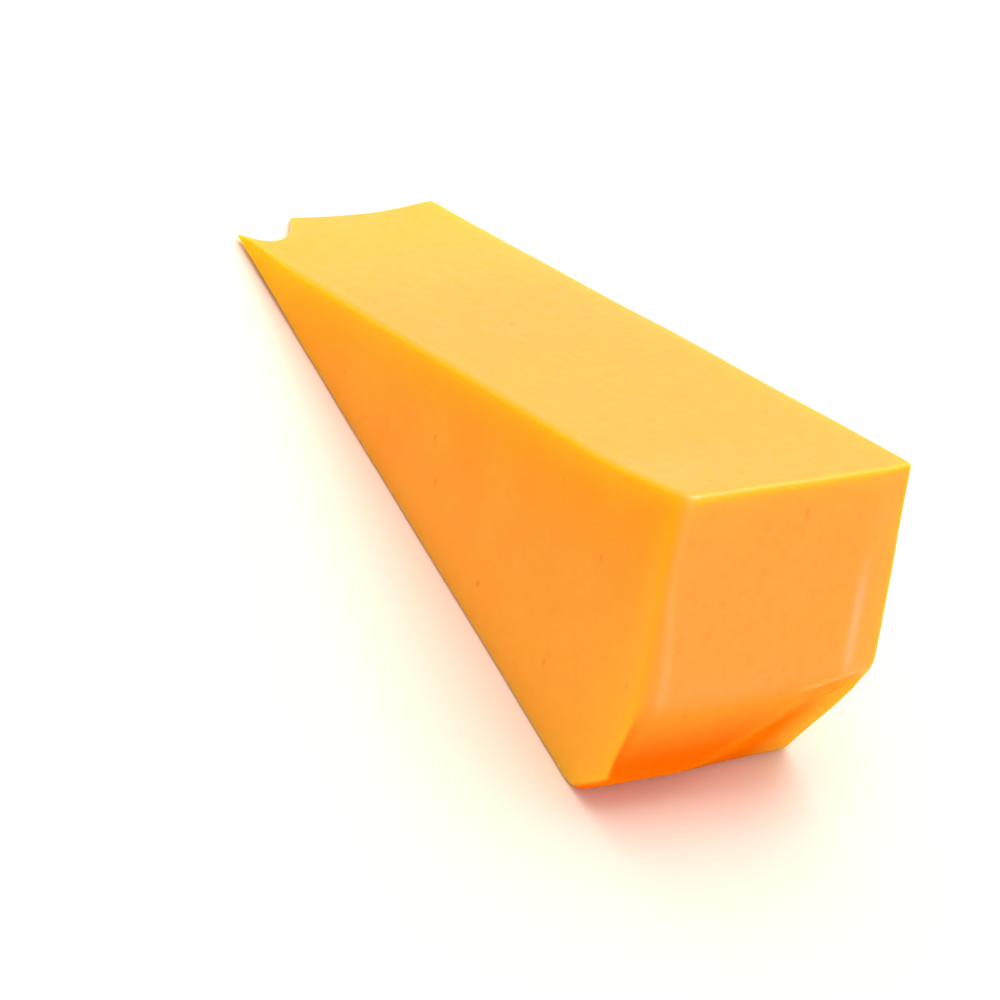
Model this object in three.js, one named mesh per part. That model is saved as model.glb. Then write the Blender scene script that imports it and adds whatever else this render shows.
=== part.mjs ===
// A wedge of orange cheddar cut from a round wheel: two flat cut faces that meet in a thin tip,
// two flat wheel faces at the sides and a rounded, slightly creased rind at the thick end.
// It lies on one cut face. X runs from tip to rind, Y from the near to the far wheel face, Z up, in mm.
import * as THREE from 'three';
import { mergeVertices } from 'three/addons/utils/BufferGeometryUtils.js';

// The wheel the wedge was cut from.
const wheelRadius = 152;
const wedgeAngle = THREE.MathUtils.degToRad(24.75);
const thickness = 46;
const tipFlare = 1.9;
const farBow = 0.75;
const tipNip = 1.2;
const tipNipShare = 0.12;

// The rind in profile, near and far side: top edge, the crease where it turns upright, the toe where
// it turns under, which rises toward the far side, and the foot. It bulges a little across the thickness.
const rindTop = { x: 138.4, z: 63.8 };
const creaseNear = { x: 150.2, z: 27.3 };
const creaseFar = { x: 152.7, z: 29.8 };
const toeNear = { x: 150.3, z: 9.2 };
const toeFar = { x: 151.8, z: 25 };
const toeRise = { start: 16, end: 42 };
const footNear = { x: 144, z: 0 };
const footFar = { x: 144.6, z: 0 };
const rindCrown = 0.8;
const footBulge = 0.5;
const crownPower = 4;
const toeShare = 0.25;
const creaseShare = 0.44;

// How far each edge is rounded over, and where along the wedge one rounding passes into the next.
const creaseRoundNear = 3;
const creaseRoundFar = 1.2;
const toeRoundNear = 3;
const toeRoundFar = 1;
const footRound = 2;
const backEdgeRoundNear = 2;
const backEdgeRoundFar = 0.6;
const cutEdgeRoundNear = 1.2;
const cutEdgeRoundFar = 0.5;
const rimEdgeRoundNear = 3;
const rimEdgeRoundLow = 0.9;
const rimEdgeRoundFar = 0.4;
const tipRound = 0.4;
const rimSpan = { start: -5, end: -0.5 };
const rimRise = { start: 18, end: 30 };
const footSpan = { start: 91, end: 137 };
const nearSpan = { start: 14, end: 28 };

// The top cut was drawn a little askew: how much lower it lies along its near side, and where that eases.
const nearDrop = 1.45;
const nearDropSpan = { start: -4, end: 26 };
const rindEndSpan = { start: 116, end: 140 };

// How far the thin tip curls up off the surface that the wedge lies on, and the horn's underside beyond it.
const tipCurlRise = 0.3;
const hornLiftRise = 0.8;
const curlSpan = { start: 10, end: 40 };
const hornLiftSpan = { start: 1, end: 8 };

// The hollow of the tip edge, the lip at its far corner and the round eye opened at its near corner, whose
// wall leans toward the tip and leaves a thin pointed horn on the near face.
const tipMiddle = 2.9;
const tipMiddleAcross = 27;
const tipHollow = 0.0072;
const tipEdge = 0.7;
const lipRise = 0.8;
const lipReach = 9;
const eyeDepth = 12.75;
const eyeAcross = 4.2;
const eyeNearReach = 8;
const eyeFarReach = 10.2;
const eyeLean = 0.4;
const hornLean = 5.5;
const hornAcross = 5;
const eyeRimRound = 0.5;
const eyeLipRound = 1;

// Facets along the length, across the thickness and up the rind.
const lengthFacets = 32;
const acrossFacets = 26;
const heightFacets = 16;
const crowding = 0.8;
const settleSteps = 8;
const probe = 0.001;

const lerp = THREE.MathUtils.lerp;
const smoothstep = THREE.MathUtils.smoothstep;

// The larger of two values, blended over a band so that two faces meet in a rounded edge.
function softMax(a, b, band) {
  const overlap = Math.max(band - Math.abs(a - b), 0);
  return Math.max(a, b) + (overlap * overlap) / (4 * band);
}

// Distance outside the line that runs down the profile from one point to the next.
function beyondLine(x, z, from, to) {
  const run = Math.hypot(to.x - from.x, to.z - from.z);
  return ((x - from.x) * (from.z - to.z) + (z - from.z) * (to.x - from.x)) / run;
}

// A profile point part of the way from the near to the far side.
function between(near, far, share) {
  return { x: lerp(near.x, far.x, share), z: lerp(near.z, far.z, share) };
}

// Where the rind turns under, part of the way across: low along the near side, then rising to the far side.
function toePoint(share) {
  const rise = smoothstep(share * thickness, toeRise.start, toeRise.end);
  return { x: lerp(toeNear.x, toeFar.x, share), z: lerp(toeNear.z, toeFar.z, rise) };
}

// Breadth from the near to the far wheel face: more toward the tip, bowed in between, nipped in at the tip.
function breadth(lengthShare) {
  const nip = tipNip * (1 - smoothstep(lengthShare, 0, tipNipShare));
  return thickness + tipFlare * (1 - lengthShare) + farBow * Math.sin(Math.PI * lengthShare) - nip;
}

// Where the tip edge lies on the top cut, across from the near face: a shallow hollow, cut by the eye.
function tipLine(across) {
  const hollow = tipMiddle - tipHollow * (across - tipMiddleAcross) ** 2;
  const nearShare = Math.min((eyeAcross - across) / eyeNearReach, 1);
  const farShare = Math.min((across - eyeAcross) / eyeFarReach, 1);
  const nearSide = Math.sqrt(1 - Math.max(nearShare, 0) ** 2);
  const farSide = 1 - Math.max(farShare, 0) ** 2;
  return softMax(hollow, eyeDepth * nearSide * farSide, eyeLipRound);
}

// How far the tip curls up at a place along the wedge.
function tipCurl(x) {
  return tipCurlRise * (1 - smoothstep(x, curlSpan.start, curlSpan.end));
}

// Height of the underside: the tip's curl, and a further rise under the horn.
function underside(x, across) {
  const underHorn = 1 - smoothstep(across, hornLiftSpan.start, hornLiftSpan.end);
  return tipCurl(x) * (1 + (hornLiftRise / tipCurlRise) * underHorn);
}

// How far the top cut drops toward the near face.
function cutDrop(x, across) {
  const start = smoothstep(x, nearDropSpan.start, nearDropSpan.end);
  const ease = 1 - smoothstep(x, rindEndSpan.start, rindEndSpan.end);
  return nearDrop * start * ease * (1 - THREE.MathUtils.clamp(across / thickness, 0, 1));
}

// How far a point lies below the top cut.
function belowCut(x, across, z) {
  return x * Math.sin(wedgeAngle) - (z - tipCurl(x)) * Math.cos(wedgeAngle) - cutDrop(x, across);
}

// How far the wall of the tip edge leans toward the tip for each mm below the top cut.
function tipLean(across) {
  return lerp(hornLean, eyeLean, smoothstep(across, 0, hornAcross));
}

// Distance beyond the wall of the tip edge, measured square to it.
function beyondTip(x, across, z) {
  const along = x * Math.cos(wedgeAngle) + z * Math.sin(wedgeAngle);
  const depth = belowCut(x, across, z);
  const edge = tipLine(across);
  const lean = tipLean(across);
  const slope = (tipLine(across + probe) - edge) / probe;
  return (edge - lean * depth - along) / Math.hypot(1, lean, slope);
}

// Distance outside the wedge's surface, negative inside, with every edge rounded over.
function skin(x, across, z) {
  const share = THREE.MathUtils.clamp(across / thickness, 0, 1);
  const crease = between(creaseNear, creaseFar, share);
  const toe = toePoint(share);
  const fullness = 1 - (2 * share - 1) ** crownPower;
  const foot = between(footNear, footFar, share);
  foot.x += footBulge * fullness;
  const crown = rindCrown * fullness;
  const upperRind = beyondLine(x, z, rindTop, crease) - crown;
  const middleRind = beyondLine(x, z, crease, toe) - crown;
  const lowerRind = beyondLine(x, z, toe, foot) - crown;
  const fromLip = ((x * x) + (across - thickness) ** 2) / (lipReach * lipReach);
  const lip = lipRise * Math.exp(-fromLip);
  const topCut = -belowCut(x, across, z) - lip;
  const reach = smoothstep(Math.max(upperRind, middleRind, lowerRind), rimSpan.start, rimSpan.end);
  const rimNear = lerp(rimEdgeRoundLow, rimEdgeRoundNear, smoothstep(z, rimRise.start, rimRise.end));
  const underRound = lerp(tipRound, footRound, smoothstep(x, footSpan.start, footSpan.end));
  const nearCut = lerp(tipRound, cutEdgeRoundNear, smoothstep(x, nearSpan.start, nearSpan.end));
  const nearRound = lerp(nearCut, rimNear, reach);
  const farRound = lerp(cutEdgeRoundFar, rimEdgeRoundFar, reach);
  let outside = softMax(upperRind, middleRind, lerp(creaseRoundNear, creaseRoundFar, share));
  outside = softMax(outside, lowerRind, lerp(toeRoundNear, toeRoundFar, share));
  outside = softMax(outside, topCut, lerp(backEdgeRoundNear, backEdgeRoundFar, share));
  outside = softMax(outside, underside(x, across) - z, underRound);
  outside = softMax(outside, beyondTip(x, across, z), eyeRimRound);
  outside = softMax(outside, -across, nearRound);
  outside = softMax(outside, across - breadth(x / wheelRadius), farRound);
  return outside;
}

// Moves a point step by step along the slope of the skin until it lies on it.
function settle(point) {
  for (let step = 0; step < settleSteps; step += 1) {
    const outside = skin(point.x, point.y, point.z);
    const slope = new THREE.Vector3(
      skin(point.x + probe, point.y, point.z) - outside,
      skin(point.x, point.y + probe, point.z) - outside,
      skin(point.x, point.y, point.z + probe) - outside,
    ).divideScalar(probe);
    point.addScaledVector(slope, -outside / slope.lengthSq());
  }
}

// Crowds evenly spaced shares toward both ends, where the edges are rounded.
function crowd(share) {
  return lerp(share, (1 - Math.cos(Math.PI * share)) / 2, crowding);
}

// The rind's sharp profile at a share of its height: straight from foot to toe, crease and top edge.
function rindPoint(acrossShare, heightShare) {
  const toe = toePoint(acrossShare);
  const crease = between(creaseNear, creaseFar, acrossShare);
  if (heightShare < toeShare) {
    return between(between(footNear, footFar, acrossShare), toe, heightShare / toeShare);
  }
  if (heightShare < creaseShare) {
    return between(toe, crease, (heightShare - toeShare) / (creaseShare - toeShare));
  }
  return between(crease, rindTop, (heightShare - creaseShare) / (1 - creaseShare));
}

// The sharp wedge: straight lines from the tip edge to the rind, at shares of length, breadth and height.
function sharpPoint(lengthShare, acrossShare, heightShare) {
  const u = crowd(lengthShare);
  const v = crowd(acrossShare);
  const w = lerp(heightShare, crowd(heightShare), u);
  const across = v * breadth(u);
  const tip = tipLine(across);
  const lean = tipLean(across);
  const run = Math.cos(wedgeAngle) + lean * Math.sin(wedgeAngle);
  const lowRise = underside(tip, across);
  const lift = (lowRise - tipCurl(tip)) * Math.cos(wedgeAngle) + cutDrop(tip / run, across);
  const tipLow = { x: (tip + lean * lift - lowRise * Math.sin(wedgeAngle)) / run, z: lowRise };
  const tipRise = Math.max(tip * Math.sin(wedgeAngle), tipEdge) + tipCurl(tip);
  const tipTop = { x: tip * Math.cos(wedgeAngle), z: tipRise };
  const point = between(between(tipLow, tipTop, w), rindPoint(v, w), u);
  const ruled = between(between(tipLow, rindPoint(v, 0), u), between(tipTop, rindTop, u), w);
  const x = lerp(ruled.x, point.x, u);
  const z = lerp(ruled.z, point.z, u) - w * cutDrop(x, across);
  return new THREE.Vector3(x, across, z);
}

// A unit block of facets whose corners are carried to the wedge and settled on its skin.
function wedgeGeometry() {
  const unit = new THREE.BoxGeometry(1, 1, 1, lengthFacets, acrossFacets, heightFacets);
  unit.deleteAttribute('normal');
  unit.deleteAttribute('uv');
  const geometry = mergeVertices(unit);
  const position = geometry.getAttribute('position');
  for (let corner = 0; corner < position.count; corner += 1) {
    const point = sharpPoint(
      position.getX(corner) + 0.5,
      position.getY(corner) + 0.5,
      position.getZ(corner) + 0.5,
    );
    settle(point);
    position.setXYZ(corner, point.x, point.y, point.z);
  }
  geometry.computeBoundingBox();
  const middle = geometry.boundingBox.getCenter(new THREE.Vector3());
  geometry.translate(-middle.x, -middle.y, 0);
  geometry.computeVertexNormals();
  return geometry;
}

const cheddar = new THREE.MeshStandardMaterial({ color: 0xf7a640, roughness: 0.5, metalness: 0 });
const block = new THREE.Mesh(wedgeGeometry(), cheddar);
block.name = 'cheddar_block';

const part = new THREE.Group();
part.name = 'cheddar_wedge';
part.add(block);

export default part;
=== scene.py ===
import bpy
import numpy as np
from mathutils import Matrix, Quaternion, Vector


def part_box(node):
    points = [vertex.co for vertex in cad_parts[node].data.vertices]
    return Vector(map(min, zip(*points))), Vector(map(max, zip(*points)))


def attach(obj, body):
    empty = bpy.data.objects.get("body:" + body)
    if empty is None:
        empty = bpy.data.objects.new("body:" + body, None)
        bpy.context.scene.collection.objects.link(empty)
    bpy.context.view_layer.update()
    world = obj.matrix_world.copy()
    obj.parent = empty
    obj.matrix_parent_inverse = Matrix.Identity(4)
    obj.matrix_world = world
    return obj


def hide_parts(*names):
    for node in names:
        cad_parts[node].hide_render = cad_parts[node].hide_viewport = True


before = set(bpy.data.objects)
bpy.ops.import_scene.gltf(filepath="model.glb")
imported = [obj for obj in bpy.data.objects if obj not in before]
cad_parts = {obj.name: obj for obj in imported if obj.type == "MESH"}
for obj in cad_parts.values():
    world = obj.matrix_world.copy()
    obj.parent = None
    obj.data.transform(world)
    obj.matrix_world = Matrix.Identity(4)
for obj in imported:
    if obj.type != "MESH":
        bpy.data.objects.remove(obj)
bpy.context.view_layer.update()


# The cheddar block: a wedge cut from a round wheel with a wire, so the two long faces are smooth cuts
# that meet in a thin tip, the side faces are the wheel's flats, and the thick end is its pressed rind.
# It is one piece of orange, waxy, slightly translucent cheese. Sizes are in mm, from the tip edge.
MM = 0.001
block_low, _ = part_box("cheddar_block")
wheel_radius = 152.0
wedge_angle = np.radians(24.75)
thickness = 46.0
tip_flare = 1.9
far_bow = 0.75
tip_nip = 1.2
tip_nip_share = 0.12


def soft_max(a, b, band):
    """The larger of two fields plus the squared overlap over four bands: faces meet in a rounded edge."""
    overlap = np.maximum(band - np.abs(a - b), 0.0)
    return np.maximum(a, b) + overlap**2 / (4.0 * band)


def ramp(value, start, end):
    """Rises smoothly from 0 at start to 1 at end: thrice the square less twice the cube of the share."""
    share = np.clip((value - start) / (end - start), 0.0, 1.0)
    return share * share * (3.0 - 2.0 * share)


def blend(a, b, share):
    """Straight blend of two values: the first, plus the share of the way to the second."""
    return a + (b - a) * share


def bump(offset, width):
    """A bell of height one: the exponential of minus the squared offset over its width."""
    return np.exp(-((offset / width) ** 2))


def breadth(length_share):
    """Breadth between the flats: the thickness, a flare to the tip and a bow, less a nip at the tip."""
    nip = tip_nip * (1.0 - ramp(length_share, 0.0, tip_nip_share))
    return thickness + tip_flare * (1.0 - length_share) + far_bow * np.sin(np.pi * length_share) - nip


# Where the tip edge runs on the top cut: a shallow hollow between its corners, bitten into by the round
# eye, whose wall leans toward the tip and leaves a thin pointed horn on the near flat.
tip_middle = 2.9
tip_middle_across = 27.0
tip_hollow = 0.0072
tip_edge = 0.7
eye_depth = 12.75
eye_across = 4.2
eye_near_reach = 8.0
eye_far_reach = 10.2
eye_lip_round = 1.0
eye_lean = 0.4
horn_lean = 5.5
horn_across = 5.0


def tip_line(across):
    """The hollow, a parabola about the middle, or the eye, its depth times a round near and far side."""
    hollow = tip_middle - tip_hollow * (across - tip_middle_across) ** 2
    near_share = np.clip((eye_across - across) / eye_near_reach, 0.0, 1.0)
    far_share = np.clip((across - eye_across) / eye_far_reach, 0.0, 1.0)
    eye = eye_depth * np.sqrt(1.0 - near_share**2) * (1.0 - far_share**2)
    return soft_max(hollow, eye, eye_lip_round)


def tip_lean(across):
    """How far the tip wall leans out for each mm below the top cut: most at the horn, little beyond it."""
    return blend(horn_lean, eye_lean, ramp(across, 0.0, horn_across))


# The underside lies flat but for the thin tip, which curls up a little, most under the horn. The top cut
# drops a little toward the near flat, because the wire ran askew.
tip_curl_rise = 0.3
curl_span = (10.0, 40.0)
horn_lift_rise = 0.8
horn_lift_span = (1.0, 8.0)
near_drop = 1.45
near_drop_span = (-4.0, 26.0)
rind_end_span = (116.0, 140.0)


def tip_curl(x):
    """How far the tip curls up off the table: its full rise at the edge, easing to none along the block."""
    return tip_curl_rise * (1.0 - ramp(x, *curl_span))


def underside(x, across):
    """Height of the underside: the tip's curl, and a further rise of like shape under the horn."""
    return tip_curl(x) * (1.0 + horn_lift_rise / tip_curl_rise * (1.0 - ramp(across, *horn_lift_span)))


def cut_drop(x, across):
    """Drop of the top cut: nothing on the far flat, full on the near one, less at the tip and the rind."""
    along = near_drop * ramp(x, *near_drop_span) * (1.0 - ramp(x, *rind_end_span))
    return along * (1.0 - np.clip(across / thickness, 0.0, 1.0))


def below_cut(x, across, z):
    """Depth square to the top cut: the length's share of the wedge's slope, less the height and the drop."""
    return x * np.sin(wedge_angle) - (z - tip_curl(x)) * np.cos(wedge_angle) - cut_drop(x, across)


# The rind's profile on the near and the far flat: foot, toe, crease and top edge, as (x, z). The rind
# stands out a little between a worn bevel along each flat.
FOOT, TOE, CREASE, TOP = range(4)
rind_near = np.array([[144.0, 0.0], [150.3, 9.2], [150.2, 27.3], [138.4, 63.8]])
rind_far = np.array([[144.6, 0.0], [151.8, 25.0], [152.7, 29.8], [138.4, 63.8]])
rind_shares = np.array([0.0, 0.25, 0.44, 1.0])
toe_rise_span = (16.0, 42.0)
rind_crown = 0.9
crown_band = 0.2
bevel_band = 0.3
near_bevel_toe = 0.9
near_bevel_crease = 3.7
near_bevel_top = 1.0
near_bevel_widens = (17.0, 26.0)
near_bevel_narrows = (26.0, 52.0)
far_bevel_low = 1.5
far_bevel_high = 6.6
far_bevel_widens = (24.0, 31.0)


def rind_corner(corner, across_share):
    """One corner of the profile, straight from near to far flat, but the toe stays low and then rises."""
    point = blend(rind_near[corner], rind_far[corner], across_share[:, None])
    if corner == TOE:
        rise = ramp(across_share * thickness, *toe_rise_span)
        point[:, 1] = blend(rind_near[TOE, 1], rind_far[TOE, 1], rise)
    return point


def rind_profile(across_share, height_share):
    """The rind's sharp profile: straight lines from foot to toe, crease and top edge by height share."""
    corners = np.stack([rind_corner(k, across_share) for k in (FOOT, TOE, CREASE, TOP)], axis=1)
    piece = np.clip(np.searchsorted(rind_shares, height_share, side="right") - 1, FOOT, CREASE)
    local = (height_share - rind_shares[piece]) / (rind_shares[piece + 1] - rind_shares[piece])
    row = np.arange(len(piece))
    return blend(corners[row, piece], corners[row, piece + 1], local[:, None])


def near_bevel(z):
    """Width of the bevel by the near flat: narrow at the toe, widest at the crease, narrow at the top."""
    lower = blend(near_bevel_toe, near_bevel_crease, ramp(z, *near_bevel_widens))
    return blend(lower, near_bevel_top, ramp(z, *near_bevel_narrows))


def far_bevel(z):
    """Width of the bevel by the far flat: narrow below the crease, wide above it."""
    return blend(far_bevel_low, far_bevel_high, ramp(z, *far_bevel_widens))


def crown(across, z):
    """How far the rind stands out: its full height, sloping down to nothing over a bevel along each flat."""
    near_slope = across / near_bevel(z)
    far_slope = (thickness - across) / far_bevel(z)
    return -rind_crown * soft_max(soft_max(-near_slope, -far_slope, bevel_band), -1.0, crown_band)


# The sharp wedge from which the rounded block is settled, with its points crowded toward the edges.
crowding = 0.55


def crowd(share):
    """Crowds even shares toward both ends: a little more than half of a half cosine, the rest straight."""
    return blend(share, (1.0 - np.cos(np.pi * share)) / 2.0, crowding)


def sharp_wedge(shares):
    """Straight lines from the tip edge to the rind, at shares of length, breadth and height."""
    u = crowd(shares[:, 0])
    v = crowd(shares[:, 1])
    w = blend(shares[:, 2], crowd(shares[:, 2]), u)
    across = v * breadth(u)
    tip = tip_line(across)
    lean = tip_lean(across)
    run = np.cos(wedge_angle) + lean * np.sin(wedge_angle)
    low_rise = underside(tip, across)
    lift = (low_rise - tip_curl(tip)) * np.cos(wedge_angle) + cut_drop(tip / run, across)
    low_x = (tip + lean * lift - low_rise * np.sin(wedge_angle)) / run
    tip_rise = np.maximum(tip * np.sin(wedge_angle), tip_edge) + tip_curl(tip)
    tip_low = np.stack([low_x, low_rise], axis=1)
    tip_top = np.stack([tip * np.cos(wedge_angle), tip_rise], axis=1)
    side = u[:, None]
    rise = w[:, None]
    low_rule = blend(tip_low, rind_profile(v, np.zeros_like(v)), side)
    ruled = blend(low_rule, blend(tip_top, rind_near[TOP], side), rise)
    curved = blend(blend(tip_low, tip_top, rise), rind_profile(v, w), side)
    plane = blend(ruled, curved, side)
    return np.stack([plane[:, 0], across, plane[:, 1] - w * cut_drop(plane[:, 0], across)], axis=1)


# The block's faces, and how far each edge is rounded: the rind's edges are soft, most of all on the near
# flat above the crease, and the wire's cuts are crisp. A pair of sizes is for the near and the far flat.
foot_bulge = 0.5
bulge_power = 4
lip_rise = 0.8
lip_reach = 9.0
crease_round = (3.0, 1.2)
toe_round = (3.0, 1.0)
back_edge_round = (2.0, 0.6)
tip_round = 0.4
foot_round = 2.0
foot_span = (91.0, 137.0)
eye_rim_round = 0.5
cut_edge_round = 1.2
cut_edge_span = (14.0, 28.0)
rim_round_low = 0.9
rim_round_high = 3.0
rim_rise = (18.0, 30.0)
rim_span = (-5.0, -0.5)
far_edge_round = 0.4
probe = 0.001


def beyond_line(x, z, start, end):
    """Distance outside the line down the profile from start to end: the cross product over its length."""
    run = end - start
    return ((x - start[:, 0]) * -run[:, 1] + (z - start[:, 1]) * run[:, 0]) / np.linalg.norm(run, axis=1)


def beyond_tip(x, across, z):
    """Distance beyond the leaning tip wall: its line less the place along the cut, over the wall's slope."""
    along = x * np.cos(wedge_angle) + z * np.sin(wedge_angle)
    depth = below_cut(x, across, z)
    edge = tip_line(across)
    lean = tip_lean(across)
    slope = (tip_line(across + probe) - edge) / probe
    return (edge - lean * depth - along) / np.sqrt(1.0 + lean**2 + slope**2)


def faces(points, relief):
    """Distance outside each face: upper, middle and lower rind, top cut, underside, tip, both flats."""
    x, across, z = points.T
    share = np.clip(across / thickness, 0.0, 1.0)
    foot, turn, bend, top = (rind_corner(k, share) for k in (FOOT, TOE, CREASE, TOP))
    foot[:, 0] += foot_bulge * (1.0 - (2.0 * share - 1.0) ** bulge_power)
    proud = crown(across, z) + relief["rind"]
    lip = lip_rise * np.exp(-(x**2 + (across - thickness) ** 2) / lip_reach**2)
    return {
        "upper": beyond_line(x, z, top, bend) - proud,
        "middle": beyond_line(x, z, bend, turn) - proud,
        "lower": beyond_line(x, z, turn, foot) - proud,
        "cut": -below_cut(x, across, z) - lip - relief["cut"],
        "under": underside(x, across) - z - relief["under"],
        "tip": beyond_tip(x, across, z),
        "near": -across - relief["near"],
        "far": across - breadth(x / wheel_radius) - relief["far"],
    }


def skin(points, relief):
    """Distance outside the rounded block: the soft maximum of its faces, each edge with its own band."""
    x, across, z = points.T
    face = faces(points, relief)
    share = np.clip(across / thickness, 0.0, 1.0)
    reach = ramp(np.maximum(np.maximum(face["upper"], face["middle"]), face["lower"]), *rim_span)
    rim_band = blend(rim_round_low, rim_round_high, ramp(z, *rim_rise))
    near_band = blend(blend(tip_round, cut_edge_round, ramp(x, *cut_edge_span)), rim_band, reach)
    outside = soft_max(face["upper"], face["middle"], blend(*crease_round, share))
    outside = soft_max(outside, face["lower"], blend(*toe_round, share))
    outside = soft_max(outside, face["cut"], blend(*back_edge_round, share))
    outside = soft_max(outside, face["under"], blend(tip_round, foot_round, ramp(x, *foot_span)))
    outside = soft_max(outside, face["tip"], eye_rim_round)
    outside = soft_max(outside, face["near"], near_band)
    return soft_max(outside, face["far"], far_edge_round)


def settle(points, relief, steps=8):
    """Moves points down the slope of the skin, by its value over the squared slope, until they lie on it."""
    for _ in range(steps):
        outside = skin(points, relief)
        ahead = [skin(points + probe * axis, relief) for axis in np.eye(3)]
        slope = (np.stack(ahead, axis=1) - outside[:, None]) / probe
        points = points - slope * (outside / (slope**2).sum(axis=1))[:, None]
    return points


# A lattice of facets over the six sides of the wedge, with shared corners so that the skin is closed.
lattice = np.array([190, 96, 108])
outer = np.ones(lattice + 1, bool)
outer[1:-1, 1:-1, 1:-1] = False
corner_id = np.full(lattice + 1, -1)
corner_id[outer] = np.arange(outer.sum())
sharp = sharp_wedge(np.argwhere(outer) / lattice)
quads = []
for axis in range(3):
    for end in (0, -1):
        sheet = np.take(corner_id, end, axis=axis)
        ring = [sheet[:-1, :-1], sheet[1:, :-1], sheet[1:, 1:], sheet[:-1, 1:]]
        outward = (end == -1) != (axis == 1)
        quads.append(np.stack(ring if outward else ring[::-1], axis=-1).reshape(-1, 4))
quads = np.concatenate(quads)

# Relief, outward: slow unevenness, drag lines of the wire, a fold across the near flat, and on the rind a
# pinched fold and a torn flake at the far end of the crease. The flats and underside lie a hair inside.
calm_span = (3.0, 22.0)
slow_rise = 0.05
fine_rise = 0.008
rind_fine_rise = 0.010
flat_inset = 0.05
under_inset = 0.04
drag_stretch = [0.05, 1.0, 0.05]
drag_gap = 2.6
cut_wave = 42.0
flat_wave = 34.0
flat_ripple = 5.0
rind_wave = 17.0
rind_ripple = 3.4
fold_place = (61.1, 25.8)
fold_slope = 0.314
fold_width = 0.7
fold_step = 0.03
fold_groove = 0.08
pinch_place = (33.7, 27.9)
pinch_slope = 0.25
pinch_starts = (27.0, 35.0)
pinch_ends = (40.5, 43.0)
pinch_ridge = 0.25
pinch_ridge_width = 0.7
pinch_groove = 0.35
pinch_groove_width = 1.1
pinch_groove_below = 2.0
flake_place = (40.5, 24.4)
flake_slope = 0.6
flake_rise = 0.45
flake_length = 1.6
flake_width = 0.6


def uneven(points, length, seed, waves=20, spread_of_lengths=(0.7, 1.5)):
    """Unevenness of about unit size: the sum of plane sine waves in seeded directions, near one length."""
    draw = np.random.default_rng(seed)
    direction = draw.normal(size=(waves, 3))
    direction /= np.linalg.norm(direction, axis=1)[:, None]
    turns = 2.0 * np.pi / (length * draw.uniform(*spread_of_lengths, waves))
    phase = draw.uniform(0.0, 2.0 * np.pi, waves)
    return np.sin(points @ (direction * turns[:, None]).T + phase).sum(axis=1) * np.sqrt(2.0 / waves)


def flat_relief(wave_seed, ripple_seed):
    """Relief of one of the wheel's flats: a slow wave and a fine ripple, less the inset."""
    slow = slow_rise * uneven(sharp, flat_wave, wave_seed)
    return -flat_inset + slow + fine_rise * uneven(sharp, flat_ripple, ripple_seed)


x, across, z = sharp.T
calm = ramp(x, *calm_span)
drag = fine_rise * uneven(sharp * drag_stretch, drag_gap, seed=11)
fold_side = x - (fold_place[0] + fold_slope * (fold_place[1] - z))
fold = fold_step * np.tanh(-fold_side / fold_width) - fold_groove * bump(fold_side, fold_width)
pinch_line = z - (pinch_place[1] + pinch_slope * (across - pinch_place[0]))
pinch_reach = ramp(across, *pinch_starts) * (1.0 - ramp(across, *pinch_ends))
pinch_hollow = pinch_groove * bump(pinch_line + pinch_groove_below, pinch_groove_width)
pinch = pinch_reach * (pinch_ridge * bump(pinch_line, pinch_ridge_width) - pinch_hollow)
flake_along = across - flake_place[0]
flake_line = z - flake_place[1] - flake_slope * flake_along
flake = flake_rise * bump(flake_along, flake_length) * bump(flake_line, flake_width)
rind_slow = slow_rise * uneven(sharp, rind_wave, seed=17)
rind_fine = rind_fine_rise * uneven(sharp, rind_ripple, seed=18)
relief = {
    "cut": calm * (slow_rise * uneven(sharp, cut_wave, seed=12) + drag),
    "under": calm * (-under_inset + drag),
    "near": calm * (flat_relief(wave_seed=13, ripple_seed=14) + fold),
    "far": calm * flat_relief(wave_seed=15, ripple_seed=16),
    "rind": rind_slow + rind_fine + pinch + flake,
}
settled = settle(sharp, relief)
placed = (settled - [settled[:, 0].min(), 0.0, 0.0]) * MM + block_low

mesh = bpy.data.meshes.new("cheddar_skin")
mesh.from_pydata(placed.tolist(), [], quads.tolist())
mesh.shade_smooth()
mesh.update()
block = bpy.data.objects.new("cheddar_skin", mesh)
bpy.context.scene.collection.objects.link(block)

# Which face each corner of the skin is on, with soft borders: the top cut, the rind, or one of the flats.
# The border of the rind is soft above the crease, where the rim is round, and crisp below it.
cut_border = (-0.7, 0.3)
rim_border_low = 0.4
rim_border_high = 2.0
rim_border_rise = (18.0, 32.0)
x, across, z = settled.T
share = np.clip(across / thickness, 0.0, 1.0)
face = faces(settled, relief)
rind_face = np.maximum(np.maximum(face["upper"], face["middle"]), face["lower"])
flat_face = np.maximum(face["near"], face["far"])
on_cut = ramp(face["cut"] - np.maximum(flat_face, rind_face), *cut_border)
rim_border = blend(rim_border_low, rim_border_high, ramp(z, *rim_border_rise))
on_rind = ramp(rind_face - np.maximum(flat_face, face["cut"]), -rim_border, rim_border)
on_flat = (1.0 - on_cut) * (1.0 - on_rind)

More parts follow.
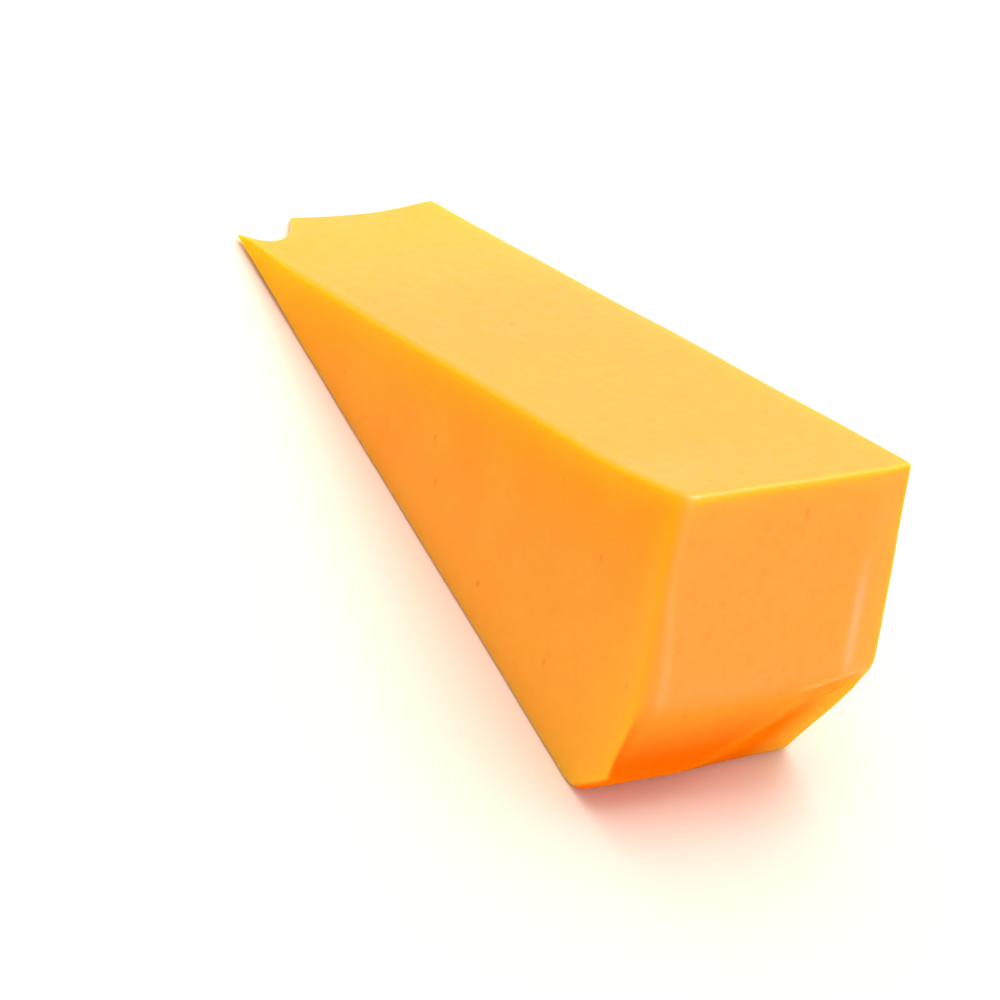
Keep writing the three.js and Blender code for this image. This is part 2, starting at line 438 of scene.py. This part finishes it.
# Painted glow: light that shines through the cheese near its edges and in the thin tip is painted golden
# there, and painted light makes the flats paler toward the foot.
cut_glow_depth = 3.2
far_glow_depth = 3.0
rim_glow_depth = 6.0
thin_glow_span = (4.0, 60.0)
flat_rim_share = 0.7
flat_thin_share = 0.45
top_thin_share = 0.5
top_far_share = 0.5
rind_cut_share = 0.7
rind_far_share = 0.55
foot_pale_span = (12.0, 46.0)
cut_glow = np.exp(np.minimum(face["cut"], 0.0) / cut_glow_depth)
far_glow = np.exp(np.minimum(face["far"], 0.0) / far_glow_depth)
rim_glow = np.exp(np.minimum(rind_face, 0.0) / rim_glow_depth)
thin_glow = 1.0 - ramp(x, *thin_glow_span)
flat_glow = np.maximum(cut_glow, flat_rim_share * rim_glow) + flat_thin_share * thin_glow
top_glow = top_thin_share * thin_glow + top_far_share * far_glow
rind_glow = np.maximum(rind_cut_share * cut_glow, rind_far_share * far_glow)
edge_glow = on_flat * flat_glow + on_cut * top_glow + on_rind * rind_glow
# Painted light: the flats are painted paler toward the foot, in place of bounce light falling there.
foot_bounce_light = on_flat * ramp(-face["cut"], *foot_pale_span)

# Painted shade: the rind's colour is painted deeper below the crease toward the toe and under it, less on
# the far side, and a painted pale pink sheen runs along its two ridges by the bevels.
toe_to_crease = (0.1, 1.1)
under_border = (-1.0, 1.0)
far_deepening = 0.25
deepening_fades = (18.0, 38.0)
far_clearing = 0.9
clearing_span = (33.0, 45.0)
near_ridge_width = 0.8
near_ridge_starts = (24.0, 30.0)
near_ridge_share = 0.45
far_ridge_width = 1.0
far_ridge_starts = (28.0, 33.0)
far_ridge_ends = (42.0, 52.0)
toe_height = rind_corner(TOE, share)[:, 1]
crease_height = rind_corner(CREASE, share)[:, 1]
toward_toe = 1.0 - ramp((z - toe_height) / (crease_height - toe_height), *toe_to_crease)
under_toe = ramp(face["lower"] - np.maximum(face["upper"], face["middle"]), *under_border)
toward_far = blend(1.0, far_deepening, ramp(across, *deepening_fades))
painted_toe_shade = blend(toward_toe * toward_far, 1.0, under_toe)
painted_toe_shade *= on_rind * (1.0 - far_clearing * ramp(across, *clearing_span))
# Painted highlight: a pale pink sheen along the crest of each bevel on the rind.
near_ridge = bump(across - near_bevel(z), near_ridge_width) * ramp(z, *near_ridge_starts)
far_ridge = bump(across - thickness + far_bevel(z), far_ridge_width) * ramp(z, *far_ridge_starts)
far_ridge *= 1.0 - ramp(z, *far_ridge_ends)
painted_ridge_sheen = on_rind * np.maximum(near_ridge_share * near_ridge, far_ridge)

# The top cut is the glossiest, the upper rind half as much, and the flats gain a little toward the foot.
cut_gloss = 0.8
rind_gloss = 0.42
flat_gloss_least = 0.04
flat_gloss_gain = 0.14
flat_gloss_span = (4.0, 24.0)
crease_border = (-0.5, 1.5)
flat_gloss = flat_gloss_least + flat_gloss_gain * ramp(-face["cut"], *flat_gloss_span)
below_crease = ramp(np.maximum(face["middle"], face["lower"]) - face["upper"], *crease_border)
gloss = on_cut * cut_gloss + on_flat * flat_gloss + on_rind * blend(rind_gloss, 0.0, below_crease)
corner_values = {
    "edge_glow": np.clip(edge_glow, 0.0, 1.0),
    "foot_bounce_light": foot_bounce_light,
    "on_cut": on_cut,
    "on_rind": on_rind,
    "painted_toe_shade": painted_toe_shade,
    "painted_ridge_sheen": painted_ridge_sheen,
    "gloss": gloss,
}
for name, values in corner_values.items():
    mesh.attributes.new(name, "FLOAT", "POINT").data.foreach_set("value", values.astype(np.float32))

# The cheese itself: an orange body with paler and deeper curd, a few brown flecks, a fine waxy grain and
# light that travels a few mm inside, red the furthest. Colours are linear.
body_orange = (0.985, 0.315, 0.010)
pale_curd = (0.985, 0.345, 0.015)
deep_curd = (0.98, 0.285, 0.007)
# painted light on the lower flats
foot_lit_orange = (0.99, 0.38, 0.024)
cut_gold = (0.985, 0.365, 0.018)
rind_orange = (0.99, 0.38, 0.036)
# painted shade of the lower rind, deep orange toward the toe
toe_shade_orange = (0.99, 0.13, 0.0003)
# painted glow: the golden light that shines through near the edges and in the thin tip
glow_gold = (0.99, 0.49, 0.0015)
# painted highlight: the sheen on the rind's bevel ridges
sheen_pink = (0.99, 0.50, 0.20)
fleck_brown = (0.80, 0.20, 0.006)
blotch_size = 14.0
curd_size = 2.2
wax_size = 3.0
grain_size = 0.7
grain_depth = 0.12
grain_strength = 0.25
fleck_gap = 7.0
fleck_reach = 0.09
fleck_core = 0.4
fleck_squash = (1.0, 1.0, 0.6)
cheese_ior = 1.45
light_reach = 5.0
light_reach_by_colour = (1.0, 0.6, 0.12)
cheddar = bpy.data.materials.new("cheddar")
cheddar.use_nodes = True
nodes = cheddar.node_tree.nodes
links = cheddar.node_tree.links
cheese = nodes["Principled BSDF"]
place = nodes.new("ShaderNodeTexCoord").outputs["Object"]


def mottle(size, detail=3.0):
    """Soft blotches of a size in mm: a noise field over the block's own coordinates."""
    noise = nodes.new("ShaderNodeTexNoise")
    noise.inputs["Scale"].default_value = 1.0 / (size * MM)
    noise.inputs["Detail"].default_value = detail
    links.new(place, noise.inputs["Vector"])
    return noise.outputs["Fac"]


def corner_value(name):
    """A value worked out at the block's corners, by name."""
    reader = nodes.new("ShaderNodeAttribute")
    reader.attribute_name = name
    return reader.outputs["Fac"]


def spread(value, start=0.0, end=1.0, low=0.0, high=1.0):
    """Carries a value straight from one range to another, held at both ends."""
    span = nodes.new("ShaderNodeMapRange")
    span.inputs["From Min"].default_value = start
    span.inputs["From Max"].default_value = end
    span.inputs["To Min"].default_value = low
    span.inputs["To Max"].default_value = high
    links.new(value, span.inputs["Value"])
    return span.outputs["Result"]


def flecks(gap, reach):
    """Sparse tall specks: one near the points of a scattered field, gap in mm apart, and none elsewhere."""
    squash = nodes.new("ShaderNodeMapping")
    squash.inputs["Scale"].default_value = fleck_squash
    links.new(place, squash.inputs["Vector"])
    scatter = nodes.new("ShaderNodeTexVoronoi")
    scatter.inputs["Scale"].default_value = 1.0 / (gap * MM)
    links.new(squash.outputs["Vector"], scatter.inputs["Vector"])
    return spread(scatter.outputs["Distance"], start=reach * fleck_core, end=reach, low=1.0, high=0.0)


def tint(share, first, second):
    """Straight blend by a share of two colours, each given or taken from another node."""
    mix = nodes.new("ShaderNodeMix")
    mix.data_type = "RGBA"
    links.new(share, mix.inputs["Factor"])
    for socket, colour in ((mix.inputs["A"], first), (mix.inputs["B"], second)):
        if isinstance(colour, tuple):
            socket.default_value = (*colour, 1.0)
        else:
            links.new(colour, socket)
    return mix.outputs["Result"]


colour = tint(spread(mottle(blotch_size), start=0.35, end=0.65), body_orange, pale_curd)
# painted light toward the foot of the flats
colour = tint(spread(corner_value("foot_bounce_light"), high=0.8), colour, foot_lit_orange)
colour = tint(corner_value("on_cut"), colour, cut_gold)
colour = tint(corner_value("on_rind"), colour, rind_orange)
colour = tint(spread(mottle(curd_size, detail=4.0), start=0.5, end=0.72, high=0.25), colour, deep_curd)
colour = tint(spread(flecks(fleck_gap, fleck_reach), high=0.5), colour, fleck_brown)
# painted shade on the lower rind
colour = tint(corner_value("painted_toe_shade"), colour, toe_shade_orange)
# painted glow along the edges and in the tip
colour = tint(corner_value("edge_glow"), colour, glow_gold)
# painted highlight along the rind's bevel ridges
colour = tint(spread(corner_value("painted_ridge_sheen"), high=0.8), colour, sheen_pink)
links.new(colour, cheese.inputs["Base Color"])
waxiness = spread(mottle(wax_size), start=0.3, end=0.7, low=0.34, high=0.46)
links.new(waxiness, cheese.inputs["Roughness"])
links.new(corner_value("gloss"), cheese.inputs["Specular IOR Level"])
cheese.inputs["IOR"].default_value = cheese_ior
cheese.inputs["Subsurface Weight"].default_value = 1.0
cheese.inputs["Subsurface Radius"].default_value = light_reach_by_colour
cheese.inputs["Subsurface Scale"].default_value = light_reach * MM
grain = nodes.new("ShaderNodeBump")
grain.inputs["Strength"].default_value = grain_strength
grain.inputs["Distance"].default_value = grain_depth * MM
links.new(mottle(grain_size), grain.inputs["Height"])
links.new(grain.outputs["Normal"], cheese.inputs["Normal"])
mesh.materials.append(cheddar)

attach(block, "root")
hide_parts("cheddar_block")


# The studio: a plain pale floor and warm even surroundings, with a broad soft lamp above the block and a
# faint one beyond the rind end. Its places are in metres.
floor_half = 3.0
floor_paint_colour = (0.86, 0.77, 0.69, 1.0)
floor_roughness = 0.9
surround_colour = (1.0, 0.88, 0.78, 1.0)
surround_strength = 0.75
floor_mesh = bpy.data.meshes.new("studio_floor")
floor_corners = [(-1, -1), (1, -1), (1, 1), (-1, 1)]
floor_mesh.from_pydata([(floor_half * i, floor_half * j, 0.0) for i, j in floor_corners], [], [(0, 1, 2, 3)])
floor = bpy.data.objects.new("studio_floor", floor_mesh)
bpy.context.scene.collection.objects.link(floor)
floor_paint = bpy.data.materials.new("floor_paint")
floor_paint.use_nodes = True
paint = floor_paint.node_tree.nodes["Principled BSDF"]
paint.inputs["Base Color"].default_value = floor_paint_colour
paint.inputs["Roughness"].default_value = floor_roughness
floor_mesh.materials.append(floor_paint)

world = bpy.data.worlds.new("studio")
world.use_nodes = True
surround = world.node_tree.nodes["Background"]
surround.inputs["Color"].default_value = surround_colour
surround.inputs["Strength"].default_value = surround_strength
bpy.context.scene.world = world

for name, stand, size, power in (
    ("softbox_above", (-0.22, 0.1, 1.08), 1.1, 15.0),
    ("softbox_rind_end", (1.0, 0.0, 0.6), 0.7, 1.0),
):
    lamp_data = bpy.data.lights.new(name, "AREA")
    lamp_data.shape = "SQUARE"
    lamp_data.size = size
    lamp_data.energy = power
    lamp = bpy.data.objects.new(name, lamp_data)
    lamp.location = stand
    lamp.rotation_euler = (-lamp.location).to_track_quat("-Z", "Y").to_euler()
    bpy.context.scene.collection.objects.link(lamp)


# The camera: a long lens that looks down on the near corner of the rind end, along the block to its tip,
# rolled about its line of sight. Its place and aim are in mm from the middle of the block's base.
camera_place = (323.13, -313.87, 375.33)
camera_aim = (10.13, -9.68, 8.12)
camera_roll = np.radians(24.122)
camera_data = bpy.data.cameras.new("camera")
camera_data.lens = 115.2
camera_data.sensor_width = 36.0
camera_data.clip_start = 0.01
camera = bpy.data.objects.new("camera", camera_data)
camera.location = Vector(camera_place) * MM
sight = Vector(camera_aim) * MM - camera.location
camera.rotation_mode = "QUATERNION"
camera.rotation_quaternion = sight.to_track_quat("-Z", "Y") @ Quaternion((0.0, 0.0, 1.0), camera_roll)
bpy.context.scene.collection.objects.link(camera)
bpy.context.scene.camera = camera
bpy.context.scene.view_settings.view_transform = "Standard"
